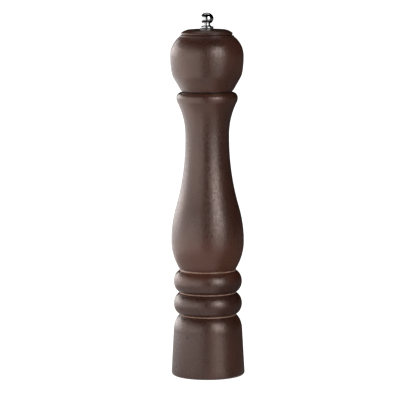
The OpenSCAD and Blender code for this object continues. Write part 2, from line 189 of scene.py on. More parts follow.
class Nodes:
    """A node tree. Its helpers return output sockets, and take numbers, colours or sockets."""

    def __init__(self, tree):
        self.tree = tree

    def feed(self, socket, value):
        if isinstance(value, bpy.types.NodeSocket):
            self.tree.links.new(value, socket)
        elif isinstance(value, tuple) and len(value) == 3 and socket.type == "RGBA":
            socket.default_value = (*value, 1.0)
        else:
            socket.default_value = value

    def add(self, kind, sockets=(), **settings):
        node = self.tree.nodes.new(kind)
        for key, value in settings.items():
            setattr(node, key, value)
        for key, value in dict(sockets).items():
            self.feed(node.inputs[key], value)
        return node

    def math(self, operation, a, b=0.0, c=0.0, clamp=False):
        node = self.add("ShaderNodeMath", {0: a, 1: b, 2: c}, operation=operation, use_clamp=clamp)
        return node.outputs[0]

    def sum(self, *parts):
        """The sum of (socket, weight) pairs and plain sockets."""
        total = None
        for part in parts:
            term = self.math("MULTIPLY", *part) if isinstance(part, tuple) else part
            total = term if total is None else self.math("ADD", total, term)
        return total

    def vector(self, operation, a, b=(0.0, 0.0, 0.0)):
        node = self.add("ShaderNodeVectorMath", {0: a, 1: b}, operation=operation)
        return node.outputs["Value" if operation == "LENGTH" else "Vector"]

    def noise(self, scale, stretch=(1.0, 1.0, 1.0), detail=3.0, roughness=0.5, place=None):
        """Noise of about 1/scale metres across, drawn out along the axes where stretch is small."""
        place = self.vector("MULTIPLY", place or self.place, stretch)
        node = self.add("ShaderNodeTexNoise", {"Vector": place, "Scale": scale, "Detail": detail,
                                               "Roughness": roughness})
        return node.outputs["Fac"]

    def step(self, value, start, end, out_start=0.0, out_end=1.0):
        """value between start and end, smoothly carried over to out_start and out_end."""
        node = self.add("ShaderNodeMapRange", {"Value": value, "From Min": start, "From Max": end,
                                               "To Min": out_start, "To Max": out_end},
                        interpolation_type="SMOOTHSTEP")
        return node.outputs["Result"]

    def blend(self, factor, a, b, mode="MIX"):
        node = self.add("ShaderNodeMix", data_type="RGBA", blend_type=mode)
        self.feed(node.inputs["Factor"], factor)
        self.feed(node.inputs[6], a)
        self.feed(node.inputs[7], b)
        return node.outputs[2]

    def split(self, place):
        return self.add("ShaderNodeSeparateXYZ", {0: place}).outputs

    def bump(self, height, distance, strength=1.0, normal=None):
        sockets = {"Height": height, "Distance": distance, "Strength": strength}
        if normal is not None:
            sockets["Normal"] = normal
        return self.add("ShaderNodeBump", sockets).outputs["Normal"]

    def radius(self):
        """Distance from the turning axis."""
        return self.vector("LENGTH", self.vector("MULTIPLY", self.place, (1.0, 1.0, 0.0)))


class Shader(Nodes):
    """A new node material."""

    def __init__(self, name):
        self.material = bpy.data.materials.new(name)
        self.material.use_nodes = True
        super().__init__(self.material.node_tree)
        self.surface = self.tree.nodes["Principled BSDF"]
        self.place = self.add("ShaderNodeTexCoord").outputs["Object"]

    def set(self, socket, value):
        self.feed(self.surface.inputs[socket], value)


def wood(name, dark, light, warm, figure=1.0, gloss=0.45, shine=0.5, peel=0.0, tool=0.0,
         shift=(0.0, 0.0, 0.0), warm_bounce_band=None, marks=()):
    """Wood with its fibres along Z and its pith off to one side: faint rings, streaks, short dark pores,
    stain blotches and darker end grain. peel is the lacquer's waviness, tool the depth of turning marks,
    rubbed the two heights bounding a band of painted warm bounce light from the floor, and marks are small
    dark knots, each a point and a radius."""
    s = Shader(name)
    s.place = s.vector("ADD", s.place, shift)
    pith = s.vector("MULTIPLY", s.vector("ADD", s.place, (0.045, -0.075, 0.0)), (1.0, 1.0, 0.02))
    wobble = s.noise(1.0, (14.0, 14.0, 3.0), 2.0)
    ring = s.math("FRACT", s.sum((s.vector("LENGTH", pith), 420.0), (wobble, 4.0)))
    late = s.math("MULTIPLY", s.step(ring, 0.3, 0.93), s.step(ring, 1.0, 0.95))
    streak = s.noise(260.0, (1.0, 1.0, 0.05), 3.0, 0.55)
    fibre = s.noise(1500.0, (1.0, 1.0, 0.035), 3.0, 0.6)
    pore = s.step(s.noise(2600.0, (1.0, 1.0, 0.10), 1.0), 0.63, 0.72)
    blotch = s.noise(42.0, (1.0, 1.0, 0.5), 4.0, 0.55)
    tone = s.sum((streak, 0.34 * figure), (fibre, 0.26 * figure), (blotch, 0.55),
                 (late, -0.10 * figure), (pore, -0.25 * figure))
    middle = 0.30 * figure + 0.27
    colour = s.blend(s.step(tone, middle - 0.20, middle + 0.20), dark, light)
    patch = s.noise(30.0, (1.0, 1.0, 0.7), 2.0)
    colour = s.blend(s.step(patch, 0.48, 0.68, 0.0, 0.4), colour, warm)
    # Painted warm bounce light: the wood between the two heights is tinted warmer.
    if warm_bounce_band:
        bottom, top = warm_bounce_band
        height = s.sum(s.split(s.place)[2], (patch, 0.03))
        above = s.step(height, bottom, bottom + 0.015)
        below = s.step(height, top, top - 0.025, 0.0, 0.85)
        band = s.math("MULTIPLY", above, below)
        colour = s.blend(band, colour, warm)
    for point, radius in marks:
        away = s.vector("LENGTH", s.vector("SUBTRACT", s.place, point))
        colour = s.blend(s.step(away, radius, radius * 0.3), colour, tuple(c * 0.1 for c in dark))
    facing = s.split(s.add("ShaderNodeNewGeometry").outputs["Normal"])[2]
    end_grain = s.step(s.math("ABSOLUTE", facing), 0.72, 1.0, 0.0, 0.45)
    colour = s.blend(end_grain, colour, tuple(c * 0.55 for c in dark))
    s.set("Base Color", colour)
    # The lacquer's mottle dulls it in patches, the more so the deeper its peel.
    mottle = s.noise(620.0, (1.0, 1.0, 0.8), 2.0)
    dull = s.step(mottle, 0.40, 0.62, 0.0, 900.0 * peel)
    s.set("Roughness", s.sum((fibre, 0.10), (blotch, 0.08), s.math("ADD", dull, gloss - 0.09)))
    s.set("Specular IOR Level", shine)
    s.set("Specular Tint", (1.0, 0.82, 0.76))
    height = s.sum((pore, -0.6), (fibre, 0.22))
    normal = s.bump(height, 0.00003)
    if peel:
        normal = s.bump(mottle, peel, normal=normal)
    if tool:
        across = s.add("ShaderNodeCombineXYZ", {0: s.radius(), 1: s.split(s.place)[2]}).outputs[0]
        cuts = s.noise(2200.0, place=across)
        normal = s.bump(cuts, tool, normal=normal)
    s.set("Normal", normal)
    return s.material


def metal(name, colour, rough, grain=(1.0, 1.0, 1.0), turned=False, scratch=0.08, bump=0.000004, dirt=0.0):
    """A metal with fine directional scratches or turning rings, faint stains and an uneven polish."""
    s = Shader(name)
    if turned:
        rings = s.add("ShaderNodeCombineXYZ", {0: s.radius(), 1: s.split(s.place)[2]}).outputs[0]
        fine = s.noise(3200.0, place=rings, roughness=0.6)
    else:
        fine = s.noise(2600.0, grain, roughness=0.6)
    cloud = s.noise(140.0, detail=4.0, roughness=0.6)
    shade = s.sum((fine, 0.5), (cloud, 0.5))
    dim = tuple(c * (0.80 - dirt) for c in colour)
    s.set("Base Color", s.blend(s.step(shade, 0.3, 0.65), dim, colour))
    s.set("Metallic", 1.0)
    s.set("Roughness", s.math("ADD", s.math("MULTIPLY", shade, scratch), rough - scratch * 0.5))
    s.set("Normal", s.bump(fine, bump))
    return s.material


def plastic(name, colour, rough):
    """Moulded nylon with a fine grain and faint flow marks."""
    s = Shader(name)
    grain = s.noise(3200.0, detail=2.0)
    cloud = s.noise(160.0, (1.0, 1.0, 0.3), 2.0)
    s.set("Base Color", s.blend(cloud, tuple(c * 0.7 for c in colour), colour))
    s.set("Roughness", s.math("ADD", s.math("MULTIPLY", grain, 0.2), rough - 0.1))
    s.set("Normal", s.bump(grain, 0.00001))
    return s.material


# ---------------------------------------------------------------- outlines, in millimetres

def arc(across, up, rx, ry, start, end, steps):
    """Points on an arc of an ellipse in the plane of radius and height."""
    turns = [math.radians(start + (end - start) * i / steps) for i in range(steps + 1)]
    return [(across + rx * math.cos(a), up + ry * math.sin(a)) for a in turns]


def line(start, end, steps):
    """Points from start up to, but not including, end."""
    return [tuple(Vector(start).lerp(Vector(end), k / steps)) for k in range(steps)]


def soften(points, radius, closed=False, least=24.0):
    """The outline with each corner sharper than least degrees rounded off."""
    out = []
    n = len(points)
    for i, p in enumerate(points):
        if not closed and i in (0, n - 1):
            out.append(p)
            continue
        p = Vector(p)
        before, after = Vector(points[i - 1]) - p, Vector(points[(i + 1) % n]) - p
        if 180.0 - math.degrees(before.angle(after)) < least:
            out.append(tuple(p))
            continue
        reach = min(radius, 0.38 * before.length, 0.38 * after.length)
        a, b = p + before.normalized() * reach, p + after.normalized() * reach
        if before.length > 4 * reach:
            out.append(tuple(p + before.normalized() * reach * 1.6))
        for k in range(5):
            t = k / 4
            out.append(tuple(a * (1 - t) ** 2 + p * (2 * t * (1 - t)) + b * t ** 2))
        if after.length > 4 * reach:
            out.append(tuple(p + after.normalized() * reach * 1.6))
    return out


def bead(low, high):
    """A bead between two groove floors, drawn upwards."""
    middle, half = (low + high) / 2, (high - low) / 2
    rise = half / 0.932
    edge = math.degrees(math.asin(half / rise))
    deep = (BEAD_RADIUS - GROOVE_RADIUS - 0.5) / (1 - math.cos(math.radians(edge)))
    return arc(BEAD_RADIUS - deep, middle, deep, rise, -edge, edge, 48)


def groove(height):
    """The narrow floor of a groove, very slightly hollow."""
    half = GROOVE_WIDTH / 2
    return [(GROOVE_RADIUS + 0.45, height - half), (GROOVE_RADIUS + 0.05, height - half + 0.05),
            (GROOVE_RADIUS - 0.02, height), (GROOVE_RADIUS + 0.05, height + half - 0.05),
            (GROOVE_RADIUS + 0.45, height + half)]


def foot_outline():
    """From the rim the mill stands on up to the lowest groove."""
    shoulder = GROOVES[0] - GROOVE_WIDTH / 2 - FOOT_TOP
    rise = shoulder * 1.116
    edge = math.degrees(math.asin(shoulder / rise))
    deep = (FOOT_TOP_RADIUS - GROOVE_RADIUS - 0.5) / (1 - math.cos(math.radians(edge)))
    inset = BASE_RADIUS - BASE_ROUND
    rounding = arc(inset, BASE_ROUND, BASE_ROUND, BASE_ROUND, -90, 0, 14)
    side = line(rounding[-1], (FOOT_TOP_RADIUS, FOOT_TOP), 8)[1:]
    return rounding + side + arc(FOOT_TOP_RADIUS - deep, FOOT_TOP, deep, rise, 0, edge, 36)


def neck_outline():
    """From the highest groove over the belly and the waist to the lip's flat top."""
    low_arc = 44.8
    low_edge = math.degrees(math.asin((BELLY_HEIGHT - GROOVES[2] - GROOVE_WIDTH / 2) / low_arc))
    fall, reach = BELLY_RADIUS - WAIST_RADIUS, WAIST_HEIGHT - BELLY_HEIGHT
    both = (reach ** 2 + fall ** 2) / (2 * fall)
    belly_arc = 102.4
    waist_arc = both - belly_arc
    turn = math.degrees(math.asin(reach / both))
    lip_low, lip_high = 9.0, 4.9
    lip_height = BODY_HEIGHT - lip_high
    straight_top = WAIST_HEIGHT + 2.8
    inset = WAIST_RADIUS - LIP_RADIUS + lip_low
    climb = lip_height - straight_top
    cove = (inset ** 2 + climb ** 2 - lip_low ** 2) / (2 * (lip_low - inset))
    cove_edge = math.degrees(math.atan2(climb, inset + cove))
    points = arc(BELLY_RADIUS - low_arc, BELLY_HEIGHT, low_arc, low_arc, -low_edge, 0, 30)
    points += arc(BELLY_RADIUS - belly_arc, BELLY_HEIGHT, belly_arc, belly_arc, 0, turn, 40)[1:]
    points += arc(WAIST_RADIUS + waist_arc, WAIST_HEIGHT, waist_arc, waist_arc, 180 + turn, 180, 32)[1:]
    points += arc(WAIST_RADIUS + cove, straight_top, cove, cove, 180, 180 - cove_edge, 36)
    points += arc(LIP_RADIUS - lip_low, lip_height, lip_low, lip_low, -cove_edge, 0, 16)[1:]
    return points + arc(LIP_RADIUS - lip_high, lip_height, lip_high, lip_high, 0, 90, 22)[1:]


def body_outline():
    """The body's outside as runs of points, foot to lip: stained wood and bare groove floors by turns."""
    half = GROOVE_WIDTH / 2
    low, middle, high = GROOVES
    return [foot_outline(), groove(low), bead(low + half, middle - half), groove(middle),
            bead(middle + half, high - half), groove(high), neck_outline()]


def head_outline():
    """The head's outside from its underside to the button's edge and over its dome to the bush."""
    lean, turn = math.radians(30.0), math.radians(9.6)
    long_flank, short_flank = 75.0, 16.0
    widest, crown, edge_height = JOINT + 28.3, 20.3, JOINT + 0.4
    end_r = HEAD_RADIUS - long_flank * (1 - math.cos(turn))
    end_z = widest - long_flank * math.sin(turn)
    short_r, short_z = end_r - short_flank * math.cos(turn), end_z + short_flank * math.sin(turn)
    low_r, low_z = short_r + short_flank * math.cos(lean), short_z - short_flank * math.sin(lean)
    edge_r = low_r - (low_z - edge_height) * math.tan(lean)
    crown_low, crown_in = widest + 0.9, HEAD_RADIUS - crown
    crown_edge = math.degrees(math.acos((BUTTON_RADIUS + 1.6 - crown_in) / crown))
    quirk = crown_low + math.sqrt(crown ** 2 - (BUTTON_RADIUS + 1.6 - crown_in) ** 2)
    slope, arris, shoulder, turn_over = 4.0, 0.7, 12.6, 50.0
    rim = quirk + 3.27
    inset = BUTTON_RADIUS - 1.05 - (shoulder - arris) * math.cos(math.radians(turn_over))
    shoulder_height = rim - (shoulder - arris) * math.sin(math.radians(turn_over))
    dome = inset / math.sin(math.radians(slope)) + shoulder
    dome_end = 90 - math.degrees(math.asin(BUSH_RIM / dome))
    points = [(edge_r - 0.4, JOINT), (edge_r - 0.1, JOINT + 0.1)]
    points += line((edge_r, edge_height), (low_r, low_z), 6)
    points += arc(short_r, short_z, short_flank, short_flank, -30, -9.6, 14)[:-1]
    points += arc(HEAD_RADIUS - long_flank, widest, long_flank, long_flank, -9.6, 0, 18)
    points += arc(crown_in, crown_low, crown, crown, 0, crown_edge, 44)
    points += [(BUTTON_RADIUS + 1.2, quirk + 0.12), (BUTTON_RADIUS + 0.9, quirk + 0.3)]
    points += arc(BUTTON_RADIUS + 0.2, quirk + 1.0, 0.7, 0.55, -50, 90, 14)
    points += [(BUTTON_RADIUS - 0.9, quirk + 1.57), (BUTTON_RADIUS - 1.15, quirk + 1.63)]
    points += arc(BUTTON_RADIUS - 1.05, rim, arris, arris, -30, turn_over, 16)
    points += arc(inset, shoulder_height, shoulder, shoulder, turn_over, 90 - slope, 36)[1:]
    return points + arc(0, HEAD_TOP - dome, dome, dome, 90 - slope, dome_end, 12)[1:]


# ---------------------------------------------------------------- meshes

def revolve(name, runs, materials, turns=192, crease=None):
    """A closed piece turned round Z. Each run is (material index, points), each starting where the last
    one ended. A point's radius is a number, or a function of the angle for a toothed, square or threaded
    piece."""
    rings, slots = [], []
    for index, points in runs:
        for p in points:
            fixed = not callable(p[0])
            if rings and fixed and not callable(rings[-1][0]):
                if (Vector(p) - Vector(rings[-1])).length < 1e-4:
                    continue
            rings.append(p)
            slots.append(index)
    ends = (rings[0], rings[-1])
    round_ends = not callable(ends[0][0]) and not callable(ends[1][0])
    if round_ends and (Vector(ends[0]) - Vector(ends[1])).length < 1e-4:
        rings.pop()
        slots.pop()
    made = bmesh.new()
    angles = turns if isinstance(turns, list) else [2 * math.pi * k / turns for k in range(turns)]
    rows = []
    for r, z in rings:
        if not callable(r) and r < 1e-4:
            rows.append([made.verts.new((0.0, 0.0, z * MM))])
            continue
        reach = [(r(a) if callable(r) else r) * MM for a in angles]
        places = [(d * math.cos(a), d * math.sin(a), z * MM) for d, a in zip(reach, angles)]
        rows.append([made.verts.new(place) for place in places])
    for i, row in enumerate(rows):
        following = rows[(i + 1) % len(rows)]
        if len(row) == 1 and len(following) == 1:
            continue
        for k in range(len(angles)):
            k2 = (k + 1) % len(angles)
            corners = [row[0]] if len(row) == 1 else [row[k], row[k2]]
            corners += [following[0]] if len(following) == 1 else [following[k2], following[k]]
            face = made.faces.new(corners)
            face.material_index = slots[(i + 1) % len(rows)]
            face.smooth = True
    return settle(name, made, materials, crease)


def settle(name, made, materials, crease=None):
    """The finished bmesh as an object, with edges sharper than crease degrees kept crisp."""
    bmesh.ops.recalc_face_normals(made, faces=made.faces)
    mesh = bpy.data.meshes.new(name)
    made.to_mesh(mesh)
    made.free()
    for material in materials:
        mesh.materials.append(material)
    if crease is not None:
        mesh.set_sharp_from_angle(angle=math.radians(crease))
    piece = bpy.data.objects.new(name, mesh)
    bpy.context.collection.objects.link(piece)
    return piece


def join(name, parts):
    """One object made of several, which are removed."""
    made = bmesh.new()
    for part in parts:
        made.from_mesh(part.data)
    mesh = bpy.data.meshes.new(name)
    made.to_mesh(mesh)
    made.free()
    for material in parts[0].data.materials:
        mesh.materials.append(material)
    for part in parts:
        bpy.data.objects.remove(part)
    piece = bpy.data.objects.new(name, mesh)
    bpy.context.collection.objects.link(piece)
    return piece


def carve(piece, cutters, crease=30.0):
    """piece with the cutters cut out of it. The cutters are removed."""
    for cutter in cutters:
        cut = piece.modifiers.new("cut", "BOOLEAN")
        cut.operation = "DIFFERENCE"
        cut.solver = "EXACT"
        cut.object = cutter
    bpy.context.view_layer.update()
    solid = piece.evaluated_get(bpy.context.evaluated_depsgraph_get())
    mesh = bpy.data.meshes.new_from_object(solid)
    piece.modifiers.clear()
    piece.data = mesh
    mesh.name = piece.name
    for cutter in cutters:
        bpy.data.objects.remove(cutter)
    mesh.set_sharp_from_angle(angle=math.radians(crease))
    return piece


def prism(name, outlines, bottom, top, materials, edge=0.12):
    """A flat sheet between two heights, its edges rounded. The first outline is its rim, the rest its
    holes."""
    curve = bpy.data.curves.new(name, "CURVE")
    curve.dimensions = "2D"
    curve.fill_mode = "BOTH"
    curve.extrude = (top - bottom) / 2 - edge
    curve.bevel_depth = edge
    curve.bevel_resolution = 2
    curve.offset = -edge
    for points in outlines:
        spline = curve.splines.new("POLY")
        spline.points.add(len(points) - 1)
        for point, (x, y) in zip(spline.points, points):
            point.co = (x, y, 0.0, 1.0)
        spline.use_cyclic_u = True
    drawn = bpy.data.objects.new(name, curve)
    bpy.context.collection.objects.link(drawn)
    bpy.context.view_layer.update()
    flat = bpy.data.meshes.new_from_object(drawn.evaluated_get(bpy.context.evaluated_depsgraph_get()))
    bpy.data.objects.remove(drawn)
    bpy.data.curves.remove(curve)
    made = bmesh.new()
    made.from_mesh(flat)
    bpy.data.meshes.remove(flat)
    bmesh.ops.remove_doubles(made, verts=made.verts, dist=0.001)
    bmesh.ops.scale(made, vec=(MM, MM, MM), verts=made.verts)
    bmesh.ops.translate(made, vec=(0.0, 0.0, (bottom + top) / 2 * MM), verts=made.verts)
    for face in made.faces:
        face.smooth = True
    return settle(name, made, materials, 35.0)


def ring_of(radius, centre=(0.0, 0.0), start=0.0, end=360.0, steps=96):
    """Points round a circle, or along the arc from start to end degrees."""
    full = end - start == 360.0
    turns = [math.radians(start + (end - start) * k / steps) for k in range(steps if full else steps + 1)]
    return [(centre[0] + radius * math.cos(a), centre[1] + radius * math.sin(a)) for a in turns]


def square_of(half, corner=0.3):
    """Points round a square with rounded corners."""
    points = []
    reach = (half - corner) * math.sqrt(2)
    for k in range(4):
        a = math.radians(45 + 90 * k)
        middle = (reach * math.cos(a), reach * math.sin(a))
        points += ring_of(corner, middle, 90.0 * k, 90.0 * k + 90.0, 6)
    return points


def washer(name, inner, outer, bottom, top, material, edge=0.12, turns=96):
    """A turned ring of rectangular section with rounded edges."""
    section = soften([(inner, bottom), (outer, bottom), (outer, top), (inner, top)], edge, closed=True)
    return revolve(name, [(0, section)], [material], turns, crease=35.0)


def ridge(phase):
    """The height, 0 to 1, of a thread's ridge at a phase of its pitch."""
    return min(1.0, 1.25 * (1.0 - abs(2.0 * (phase % 1.0) - 1.0)))


def thread(bottom, top, pitch, core, crest, fade=1.0):
    """Rows of a right-hand thread between two heights, dying out over its last turns."""
    def at(z):
        depth = (crest - core) * min(1.0, (z - bottom) / (fade * pitch), (top - z) / (fade * pitch))
        return lambda a: core + depth * ridge(z / pitch - a / (2 * math.pi))
    steps = round((top - bottom) / pitch * 10)
    return [(at(bottom + (top - bottom) * k / steps), bottom + (top - bottom) * k / steps)
            for k in range(steps + 1)]


# ---------------------------------------------------------------- the wood

def dress(piece, node, body):
    """piece stands for the CAD node, which is hidden, and moves with its body."""
    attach(piece, body)
    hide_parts(node)


STAINED, BARE, RAW = 0, 1, 2


def make_body():
    runs = [(STAINED, [(21.6, 0.0)])]
    for i, points in enumerate(body_outline()):
        runs.append((i % 2, soften(points, 0.2)))
    mouth = 15.5 + RUN
    inner = [(20.8, BODY_HEIGHT), (mouth, BODY_HEIGHT), (mouth, BODY_HEIGHT - 9.0),
             (13.5, BODY_HEIGHT - 9.0), (13.5, 13.0), (21.0, 13.0), (21.0, 0.6), (21.6, 0.0)]
    runs.append((RAW, soften(inner, 0.3)))
    piece = revolve("turned_body", runs, [stained, bare, raw])
    dress(piece, "body", "mill_body")


def make_head():
    tenon, tenon_end, hole = 13.25, low("head"), HALF_DIAGONAL + 0.1
    spigot = [(hole, tenon_end), (tenon - 0.6, tenon_end), (tenon, tenon_end + 0.6), (tenon, JOINT)]
    bore = [(BUSH_RIM, HEAD_TOP - 0.8), (3.4 + RUN, HEAD_TOP - 0.8), (3.4 + RUN, 278.0), (hole, 278.0),
            (hole, tenon_end)]
    runs = [(RAW, soften(spigot, 0.25)), (STAINED, soften(head_outline(), 0.15)), (RAW, soften(bore, 0.15))]
    piece = revolve("turned_head", runs, [stained, bare, raw])
    dress(piece, "head", "mill_head")


# ---------------------------------------------------------------- the finial

def make_finial():
    base, top, body = low("finial_nut"), high("finial_nut"), 5.75
    neck, ball, rise, rim = 2.8, 5.75, 4.9, 1.5
    neck_height = base + 3.8
    centre = neck_height + rise * math.sqrt(1 - (neck / ball) ** 2)
    lean = math.degrees(math.acos(neck / ball))
    bell = neck_height - base - rim
    outside = soften([(2.05 + 0.25, base), (body - 0.3, base), (body, base + 0.45),
                      (body, base + rim - 0.35), (body - 0.35, base + rim)], 0.15)
    outside += arc(neck + bell, neck_height, bell, bell, 270, 180, 20)[1:]
    outside += arc(0, centre, ball, rise, 1.5 - lean, 90, 60)
    blind = 7.2
    inside = [(2.3, base), (2.05, base + 0.25)] + thread_hole(base + 0.25, base + blind)
    runs = [(0, [(0.0, base + blind + 1.0)]), (0, inside[::-1]), (0, outside)]
    piece = revolve("ball_nut", runs, [chrome], 128, crease=40.0)
    dress(piece, "finial_nut", "finial")
    under = washer("nut_washer", 2.05, body - 0.3, HEAD_TOP, base, screw_steel, 0.06, 128)
    dress(under, "finial_washer", "finial_seat")


def thread_hole(bottom, top):
    """Rows of the nut's inner thread, cut outwards from the hole's radius."""
    return thread(bottom, top, THREAD_PITCH, 2.05, 2.3)


def make_bush():
    section = [(2.05, HEAD_TOP - 10.0), (3.4, HEAD_TOP - 10.0), (3.4, HEAD_TOP - 0.8),
               (4.8, HEAD_TOP - 0.8), (4.8, HEAD_TOP), (2.05, HEAD_TOP)]
    piece = revolve("button_bush", [(0, soften(section, 0.15, closed=True))], [bronze], 96, crease=35.0)
    dress(piece, "head_bush", "mill_head")


# ---------------------------------------------------------------- the shaft

def square_radius(half, corner):
    """Distance from the axis to a square's side, the corners turned down to a radius, as a function of
    angle."""
    def at(a):
        side = abs(math.cos(a)), abs(math.sin(a))
        return min(half / max(side), corner)
    return at


def corner_angles(per_side):
    """Angles round a circle, closer together at the four corners of a square."""
    turns = []
    for k in range(4):
        corner = 45 + 90 * k
        turns += [corner + d for d in (-5.0, -3.5, -2.0, 0.0, 2.0, 3.5, 5.0)]
        turns += [corner + 5.0 + 80.0 * (j + 1) / (per_side + 1) for j in range(per_side)]
    return [math.radians(t) for t in sorted(turns)]


THREAD_PITCH = 0.7


def make_shaft():
    bottom, top = low("shaft"), high("shaft")
    square_top, clip, pin = 274.0, 12.3, 2.4
    square = square_radius(HALF_WIDTH, HALF_DIAGONAL - 0.22)
    shoulder = square_radius(HALF_WIDTH, 3.1)
    low_end = low("spring_cup") - 11.6
    points = [(0.0, bottom), (pin - 0.5, bottom), (pin, bottom + 0.5), (pin, clip - 0.05),
              (pin - 0.5, clip), (pin - 0.5, clip + 0.8), (pin, clip + 0.85), (pin, low_end)]
    points += [(shoulder, low_end), (square, low_end + 0.6)]
    points += [(square, low_end + 0.6 + (square_top - low_end - 1.2) * k / 12) for k in range(1, 13)]
    points += [(shoulder, square_top), (2.0, square_top), (1.85, square_top + 0.3), (1.85, top - 12.8)]
    points += thread(top - 12.8, top - 0.3, THREAD_PITCH, 1.66, 2.0)
    points += [(1.5, top), (0.0, top)]
    piece = revolve("square_shaft", [(0, points)], [steel], corner_angles(14), crease=32.0)
    dress(piece, "shaft", "drive_shaft")


def make_shaft_end():
    seat = high("shaft_end_clip") + RUN
    ring = washer("end_washer", 2.45, HALF_DIAGONAL + 0.8, seat, seat + 0.8, steel)
    dress(ring, "shaft_end_washer", "drive_shaft")
    outer, inner, mouth = 4.3, 1.95, 1.52
    wide, narrow = (math.degrees(math.asin(mouth / r)) for r in (outer, inner))
    rim = ring_of(outer, start=wide, end=360 - wide, steps=64)
    rim += ring_of(inner, start=360 - narrow, end=narrow, steps=32)
    lugs = [ring_of(0.55, ring_of(2.65, start=a, end=a, steps=1)[0], steps=20) for a in (40, 140, 220, 320)]
    clip = prism("end_clip", [rim] + lugs, low("shaft_end_clip"), high("shaft_end_clip"),
                 [screw_steel], 0.08)
    dress(clip, "shaft_end_clip", "drive_shaft")


# ---------------------------------------------------------------- the spring and its seats

def make_spring():
    bottom, top, wire, sides, steps = low("grinder_spring"), high("grinder_spring"), 0.5, 16, 56
    coils, radius = 5, HALF_DIAGONAL + 0.55 + 0.5
    rise = (top - bottom - 2 * wire - 2.1 * 2 * wire) / (coils - 2)
    made = bmesh.new()
    rows = []
    for i in range(coils * steps + 1):
        t = i / steps
        closed = min(t, 1) + max(t - coils + 1, 0)
        middle = bottom + wire + closed * 1.05 * 2 * wire + (t - closed) * rise
        turn = 2 * math.pi * t
        row = []
        for k in range(sides):
            a = 2 * math.pi * k / sides
            r = radius + wire * math.cos(a)
            z = min(max(middle + wire * math.sin(a), bottom + 0.06), top - 0.06)
            row.append(made.verts.new((r * math.cos(turn) * MM, r * math.sin(turn) * MM, z * MM)))
        rows.append(row)
    for row, following in zip(rows, rows[1:]):
        for k in range(sides):
            face = made.faces.new((row[k], row[(k + 1) % sides], following[(k + 1) % sides], following[k]))
            face.smooth = True
    made.faces.new(rows[0][::-1])
    made.faces.new(rows[-1])
    piece = settle("coil_spring", made, [spring_steel], 50.0)
    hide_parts("grinder_spring")
    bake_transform(piece)


def make_spring_seats():
    bottom = low("spring_cup")
    inner, outer, lip = HALF_DIAGONAL + RUN, 6.49, 5.99
    section = [(inner, bottom), (outer, bottom), (outer, bottom + 1.4), (lip, bottom + 1.4),
               (lip, bottom + 0.8), (inner, bottom + 0.8)]
    cup = revolve("spring_cup_washer", [(0, soften(section, 0.15, closed=True))], [steel], 96, crease=35.0)
    dress(cup, "spring_cup", "drive_shaft")
    hole = square_of(HALF_WIDTH + RUN, 0.1)
    plate = prism("thrust_plate", [ring_of(6.49), hole], low("thrust_washer"), high("thrust_washer"),
                  [steel], 0.1)
    dress(plate, "thrust_washer", "spindle_stack")


# ---------------------------------------------------------------- the grinder

SEAT = 11.4
GRIND_TOP = 19.0


def saw(phase, sharp=0.8):
    """A saw tooth, 0 to 1: a long slope and a short steep face."""
    phase %= 1.0
    return phase / sharp if phase < sharp else (1.0 - phase) / (1.0 - sharp)


def toothed(count, rows, depth, sharp):
    """Rows of a toothed surface from (tip radius, height, turn) rows; depth scales with the radius."""
    first = rows[0][0]

    def at(tip, turn):
        cut = depth * tip / first
        return lambda a: tip - cut * (1.0 - saw(count * (a / (2 * math.pi) - turn / 360.0), sharp))
    return [(at(tip, turn), z) for tip, z, turn in rows]


def between(start, end, steps):
    """Rows from start to end, both (tip radius, height, turn)."""
    return [tuple(a + (b - a) * k / steps for a, b in zip(start, end)) for k in range(steps + 1)]


def ring_at(z):
    """Inner radius of the ring's grinding cone at a height."""
    return 11.2 - 1.6 * (z - SEAT) / (GRIND_TOP - SEAT)


def make_burr():
    bottom, top, gap = low("grinder_burr"), high("grinder_burr"), 0.35
    waist = ring_at(GRIND_TOP) - gap
    fine = toothed(20, between((ring_at(bottom) - gap, bottom, 0), (waist, GRIND_TOP, -14), 10), 0.9, 0.75)
    coarse_low, coarse_high = (waist, GRIND_TOP + 0.05, 0), (HALF_DIAGONAL + 1.75, top, -55)
    coarse = toothed(6, between(coarse_low, coarse_high, 26), 1.9, 0.7)
    runs = [(0, [(0.0, bottom)]), (0, fine), (0, coarse), (0, [(0.0, top)])]
    piece = revolve("cone_burr", runs, [hard_steel], 360)
    bore = prism("bore", [square_of(HALF_WIDTH + RUN, 0.1)], bottom - 1, top + 1, [hard_steel], 0.01)
    dress(carve(piece, [bore], 28.0), "grinder_burr", "drive_shaft")


def make_ring():
    top = high("grinder_ring")
    piece = revolve("ring_blank", [(0, [(0.0, SEAT), (12.35, SEAT), (12.55, SEAT + 0.2), (12.55, top - 0.2),
                                        (12.35, top), (0.0, top)])], [hard_steel], 144)
    piece.name = "grinding_ring"
    cone_low, cone_high = (ring_at(SEAT) + 0.9, SEAT, 0), (ring_at(GRIND_TOP) + 0.77, GRIND_TOP, 12)
    cone = toothed(24, between(cone_low, cone_high, 8), 0.9, 0.25)
    funnel = toothed(12, between((9.6 + 0.9, GRIND_TOP + 0.05, 0), (10.6 + 0.99, top, 0), 3), 0.9, 0.5)
    over = 0.4
    runs = [(0, [(0.0, SEAT - over)]), (0, [(cone[0][0], SEAT - over)] + cone),
            (0, funnel + [(funnel[-1][0], top + over)]), (0, [(0.0, top + over)])]
    cutter = revolve("ring_cutter", runs, [hard_steel], 360)
    dress(carve(piece, [cutter], 28.0), "grinder_ring", "mill_body")


def peg(radius, bottom, top, x=0.0, turns=32):
    """A round cutter standing at x."""
    section = [(0.0, bottom), (radius, bottom), (radius, top), (0.0, top)]
    piece = revolve("peg", [(0, section)], [steel], turns)
    piece.data.transform(Matrix.Translation((x * MM, 0.0, 0.0)))
    return piece


SCREW_PLACE = 16.5
FLANGE_TOP = 13.0


